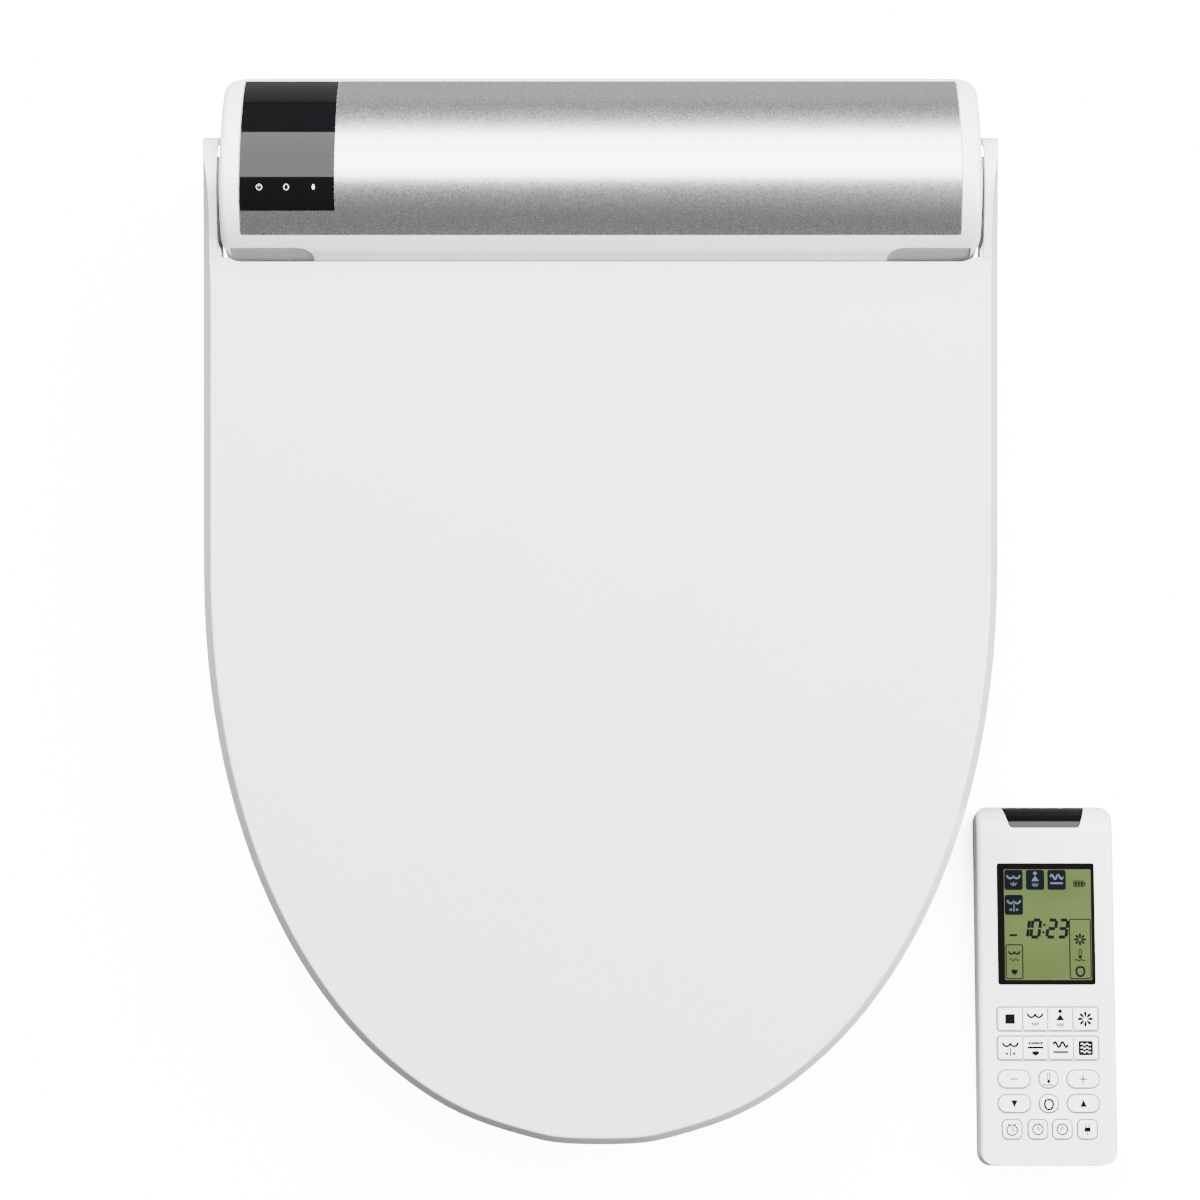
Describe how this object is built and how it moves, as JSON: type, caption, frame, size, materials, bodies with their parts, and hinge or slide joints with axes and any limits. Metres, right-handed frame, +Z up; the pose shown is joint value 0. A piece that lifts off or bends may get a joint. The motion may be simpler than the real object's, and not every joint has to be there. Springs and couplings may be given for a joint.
{
  "type": "electric bidet seat",
  "caption": "Electric bidet toilet seat with a sloping lid, heated seat ring, rounded rear water and electronics housing, and a cordless remote control",
  "frame": {"origin": "midway between the two fixing holes, on the plane that the seat rests on", "axes": "+Z up, +Y towards the tank behind the seat, +X to the right of someone who faces the tank"},
  "size_m": [0.4515, 0.5275, 0.1495],
  "materials": {
    "white_shell": "smooth glossy white moulded plastic",
    "white_lid": "smooth satin white moulded plastic",
    "silver": "silver metallic lacquer with fine flake",
    "black_window": "polished black acrylic",
    "grey_plastic": "matt grey moulded plastic",
    "inner_plastic": "natural moulded plastic",
    "black_plastic": "matt black plastic",
    "board_green": "solder mask over glass epoxy",
    "steel": "plain steel",
    "rubber": "light grey rubber",
    "film": "amber heater film",
    "lcd": "liquid crystal display behind black framed glass",
    "remote_shell": "white moulded plastic",
    "key": "white key cap"
  },
  "bodies": {
    "base": {"base_tray": "white_shell", "top_cover": "white_shell", "silver_panel": "silver", "display_window": "black_window", "indicator_board": "board_green", "hinge_screw_covers": "grey_plastic", "hinge_pins": "steel", "hinge_dampers": "black_plastic", "inlet_fitting": "grey_plastic", "solenoid_valve": "inner_plastic", "heater_tank": "inner_plastic", "wash_pump": "black_plastic", "nozzle_housing": "inner_plastic", "nozzle_motor": "steel", "blower_housing": "inner_plastic", "deodorizer_housing": "inner_plastic", "power_module": "black_plastic", "control_board": "board_green", "cord_gland": "black_plastic", "rear_pads": "rubber", "cover_screws": "steel"},
    "seat": {"seat_top": "white_shell", "seat_base": "white_shell", "seat_heater": "film", "seat_bumpers": "rubber"},
    "lid": {"lid_shell": "white_lid", "lid_lining": "white_lid", "lid_bumpers": "rubber"},
    "nozzle": {"wash_nozzle": "white_shell"},
    "dryer_fan": {"dryer_impeller": "black_plastic"},
    "dryer_door": {"dryer_flap": "white_shell"},
    "deodorizer_fan": {"deodorizer_impeller": "black_plastic"},
    "cartridge": {"filter_cartridge": "grey_plastic"},
    "plate": {"mounting_plate": "inner_plastic", "plate_bushings": "grey_plastic"},
    "release": {"release_button": "grey_plastic"},
    "remote": {"remote_front": "remote_shell", "remote_back": "remote_shell", "ir_window": "black_window", "lcd_panel": "lcd", "remote_board": "board_green"},
    "battery_cover": {"battery_door": "remote_shell"},
    "key_stop": {"key_stop": "key"},
    "key_rear_wash": {"key_rear_wash": "key"},
    "key_front_wash": {"key_front_wash": "key"},
    "key_dryer": {"key_dryer": "key"},
    "key_wide_wash": {"key_wide_wash": "key"},
    "key_move": {"key_move": "key"},
    "key_massage": {"key_massage": "key"},
    "key_warm_air": {"key_warm_air": "key"},
    "key_minus": {"key_minus": "key"},
    "key_water_heat": {"key_water_heat": "key"},
    "key_plus": {"key_plus": "key"},
    "key_down": {"key_down": "key"},
    "key_seat_heat": {"key_seat_heat": "key"},
    "key_up": {"key_up": "key"},
    "key_timer": {"key_timer": "key"},
    "key_clock_set": {"key_clock_set": "key"},
    "key_alarm": {"key_alarm": "key"},
    "key_save": {"key_save": "key"}
  },
  "joints": [
    {"name": "seat_hinge", "type": "hinge", "parent": "base", "child": "seat", "pos_m": [0, -0.0095, 0.112], "axis": [1, 0, 0], "range_deg": [-98, 0]},
    {"name": "lid_hinge", "type": "hinge", "parent": "seat", "child": "lid", "pos_m": [0, -0.0095, 0.112], "axis": [-1, 0, 0], "range_deg": [0, 108]},
    {"name": "nozzle_slide", "type": "slide", "parent": "base", "child": "nozzle", "axis": [0, -0.7431, -0.6691], "range_m": [0, 0.09]},
    {"name": "dryer_fan_spin", "type": "hinge", "parent": "base", "child": "dryer_fan", "pos_m": [0.06, 0.01, 0.073], "axis": [1, 0, 0], "continuous": true},
    {"name": "dryer_flap_hinge", "type": "hinge", "parent": "base", "child": "dryer_door", "pos_m": [0.058, -0.0463, 0.037], "axis": [-1, 0, 0], "range_deg": [0, 60], "stiffness_Nm_per_rad": 0.002, "springref_deg": -11.46},
    {"name": "deodorizer_fan_spin", "type": "hinge", "parent": "base", "child": "deodorizer_fan", "pos_m": [-0.151, -0.023, 0.05], "axis": [0, 0, 1], "continuous": true},
    {"name": "cartridge_slide", "type": "slide", "parent": "base", "child": "cartridge", "axis": [-1, 0, 0], "range_m": [0, 0.06]},
    {"name": "plate_slide", "type": "slide", "parent": "base", "child": "plate", "axis": [0, 1, 0], "range_m": [0, 0.05]},
    {"name": "release_press", "type": "slide", "parent": "base", "child": "release", "axis": [-1, 0, 0], "range_m": [0, 0.0015], "stiffness_N_per_m": 600, "springref_m": -0.001},
    {"name": "remote_lift", "type": "slide", "parent": "base", "child": "remote", "axis": [0, 0, 1], "range_m": [0, 0.15]},
    {"name": "battery_cover_slide", "type": "slide", "parent": "remote", "child": "battery_cover", "axis": [0, -1, 0], "range_m": [0, 0.02]},
    {"name": "key_stop_press", "type": "slide", "parent": "remote", "child": "key_stop", "axis": [0, 0, -1], "range_m": [0, 0.0006], "stiffness_N_per_m": 300, "springref_m": -0.0006},
    {"name": "key_rear_wash_press", "type": "slide", "parent": "remote", "child": "key_rear_wash", "axis": [0, 0, -1], "range_m": [0, 0.0006], "stiffness_N_per_m": 300, "springref_m": -0.0006},
    {"name": "key_front_wash_press", "type": "slide", "parent": "remote", "child": "key_front_wash", "axis": [0, 0, -1], "range_m": [0, 0.0006], "stiffness_N_per_m": 300, "springref_m": -0.0006},
    {"name": "key_dryer_press", "type": "slide", "parent": "remote", "child": "key_dryer", "axis": [0, 0, -1], "range_m": [0, 0.0006], "stiffness_N_per_m": 300, "springref_m": -0.0006},
    {"name": "key_wide_wash_press", "type": "slide", "parent": "remote", "child": "key_wide_wash", "axis": [0, 0, -1], "range_m": [0, 0.0006], "stiffness_N_per_m": 300, "springref_m": -0.0006},
    {"name": "key_move_press", "type": "slide", "parent": "remote", "child": "key_move", "axis": [0, 0, -1], "range_m": [0, 0.0006], "stiffness_N_per_m": 300, "springref_m": -0.0006},
    {"name": "key_massage_press", "type": "slide", "parent": "remote", "child": "key_massage", "axis": [0, 0, -1], "range_m": [0, 0.0006], "stiffness_N_per_m": 300, "springref_m": -0.0006},
    {"name": "key_warm_air_press", "type": "slide", "parent": "remote", "child": "key_warm_air", "axis": [0, 0, -1], "range_m": [0, 0.0006], "stiffness_N_per_m": 300, "springref_m": -0.0006},
    {"name": "key_minus_press", "type": "slide", "parent": "remote", "child": "key_minus", "axis": [0, 0, -1], "range_m": [0, 0.0006], "stiffness_N_per_m": 300, "springref_m": -0.0006},
    {"name": "key_water_heat_press", "type": "slide", "parent": "remote", "child": "key_water_heat", "axis": [0, 0, -1], "range_m": [0, 0.0006], "stiffness_N_per_m": 300, "springref_m": -0.0006},
    {"name": "key_plus_press", "type": "slide", "parent": "remote", "child": "key_plus", "axis": [0, 0, -1], "range_m": [0, 0.0006], "stiffness_N_per_m": 300, "springref_m": -0.0006},
    {"name": "key_down_press", "type": "slide", "parent": "remote", "child": "key_down", "axis": [0, 0, -1], "range_m": [0, 0.0006], "stiffness_N_per_m": 300, "springref_m": -0.0006},
    {"name": "key_seat_heat_press", "type": "slide", "parent": "remote", "child": "key_seat_heat", "axis": [0, 0, -1], "range_m": [0, 0.0006], "stiffness_N_per_m": 300, "springref_m": -0.0006},
    {"name": "key_up_press", "type": "slide", "parent": "remote", "child": "key_up", "axis": [0, 0, -1], "range_m": [0, 0.0006], "stiffness_N_per_m": 300, "springref_m": -0.0006},
    {"name": "key_timer_press", "type": "slide", "parent": "remote", "child": "key_timer", "axis": [0, 0, -1], "range_m": [0, 0.0006], "stiffness_N_per_m": 300, "springref_m": -0.0006},
    {"name": "key_clock_set_press", "type": "slide", "parent": "remote", "child": "key_clock_set", "axis": [0, 0, -1], "range_m": [0, 0.0006], "stiffness_N_per_m": 300, "springref_m": -0.0006},
    {"name": "key_alarm_press", "type": "slide", "parent": "remote", "child": "key_alarm", "axis": [0, 0, -1], "range_m": [0, 0.0006], "stiffness_N_per_m": 300, "springref_m": -0.0006},
    {"name": "key_save_press", "type": "slide", "parent": "remote", "child": "key_save", "axis": [0, 0, -1], "range_m": [0, 0.0006], "stiffness_N_per_m": 300, "springref_m": -0.0006}
  ]
}
